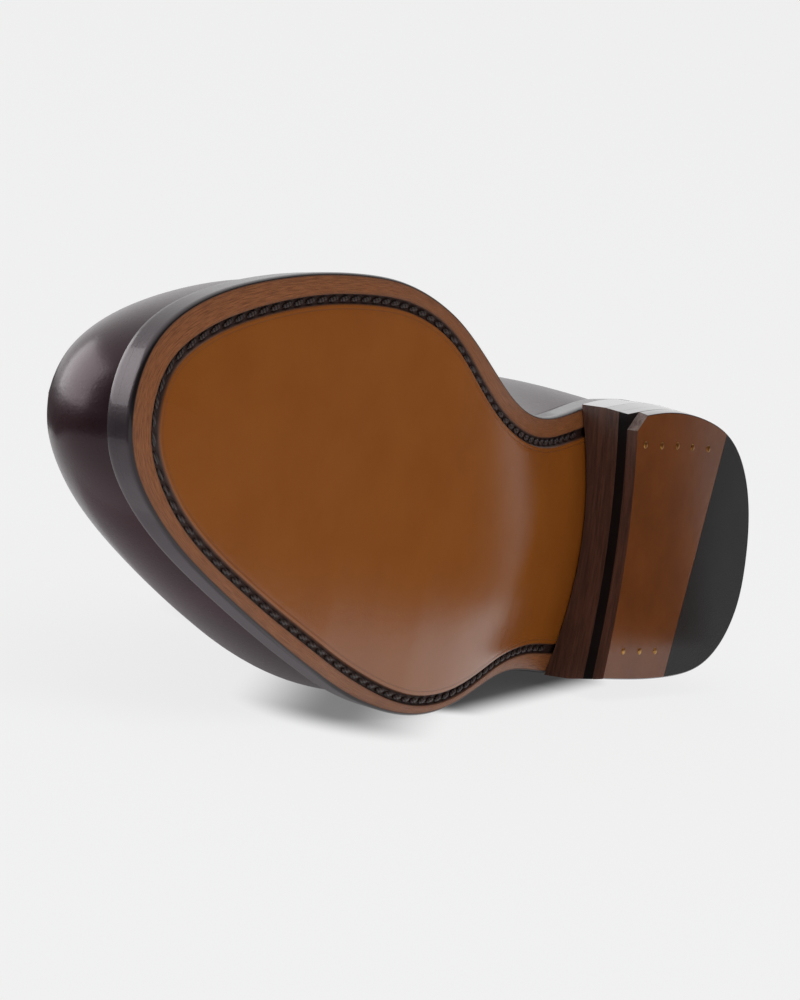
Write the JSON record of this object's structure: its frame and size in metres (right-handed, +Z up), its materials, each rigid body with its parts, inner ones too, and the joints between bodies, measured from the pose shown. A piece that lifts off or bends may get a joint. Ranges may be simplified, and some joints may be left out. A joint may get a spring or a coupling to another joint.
{
  "type": "tassel loafer",
  "caption": "Right slip-on dress shoe with a welted leather sole, stacked heel, hollow low-cut upper, tongue and tasselled lace, lying on its outer side.",
  "frame": {"origin": "centre of the bounding box on the floor, under the shoe lying on its outer side", "axes": "+Z up, the toe points to -X, the sole faces -Y and the collar +Y"},
  "size_m": [0.299, 0.106, 0.1076],
  "materials": {
    "sole_leather": "tanned sole leather, burnished, satin",
    "welt_leather": "dark inked edge, polished",
    "lining_leather": "smooth lining leather, matt",
    "stack_leather": "dark stacked heel leather",
    "heel_rubber": "black rubber, satin",
    "upper_leather": "dark burgundy brown calf, high polish",
    "lace_leather": "dark brown lace leather, satin"
  },
  "bodies": {
    "root": {"outsole": "sole_leather", "welt": "welt_leather", "insole": "lining_leather", "heel_lift_upper": "stack_leather", "heel_lift_lower": "stack_leather", "heel_lift_black": "heel_rubber", "top_lift_leather": "sole_leather", "top_lift_rubber": "heel_rubber", "upper": "upper_leather", "tongue": "upper_leather", "lace_outer": "lace_leather", "lace_inner": "lace_leather", "lace_knot": "lace_leather", "lace_end_outer": "lace_leather", "lace_end_inner": "lace_leather", "tassel_outer": "lace_leather", "tassel_inner": "lace_leather"}
  },
  "joints": []
}
